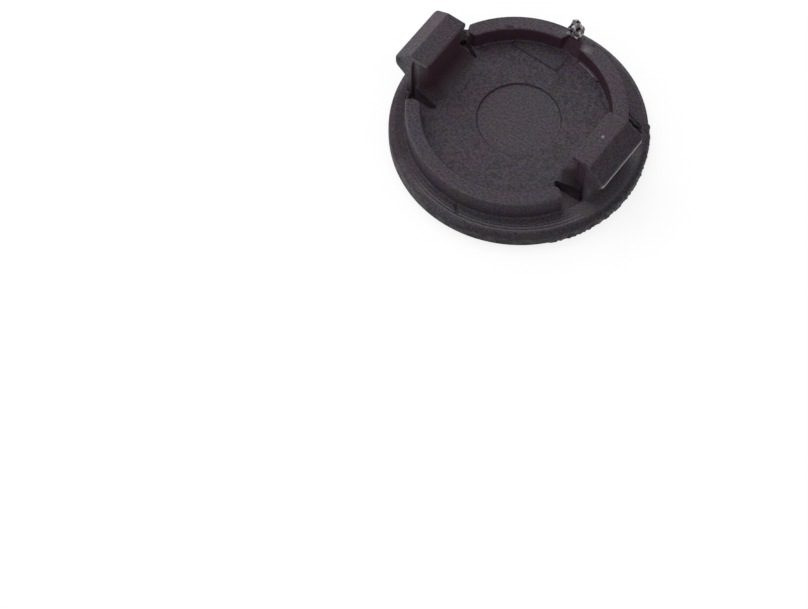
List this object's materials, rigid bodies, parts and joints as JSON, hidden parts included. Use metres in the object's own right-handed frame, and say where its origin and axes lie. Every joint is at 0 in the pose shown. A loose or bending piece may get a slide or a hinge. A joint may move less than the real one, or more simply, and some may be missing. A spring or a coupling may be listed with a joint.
{
  "type": "door trim cap",
  "caption": "Round snap-in plastic cap for a screw hole in a vehicle door trim panel, with a flanged show face, a collar and barbed spring clips.",
  "frame": {"origin": "centre of the show face, which lies on the surface", "axes": "+Z out of the back of the cap, along the clips; X through both clips; +Y towards the broken gate"},
  "size_m": [0.0282, 0.0282, 0.0086],
  "materials": {
    "body_plastic": "fine matte grain"
  },
  "bodies": {
    "root": {"trim_cap": "body_plastic"}
  },
  "joints": []
}
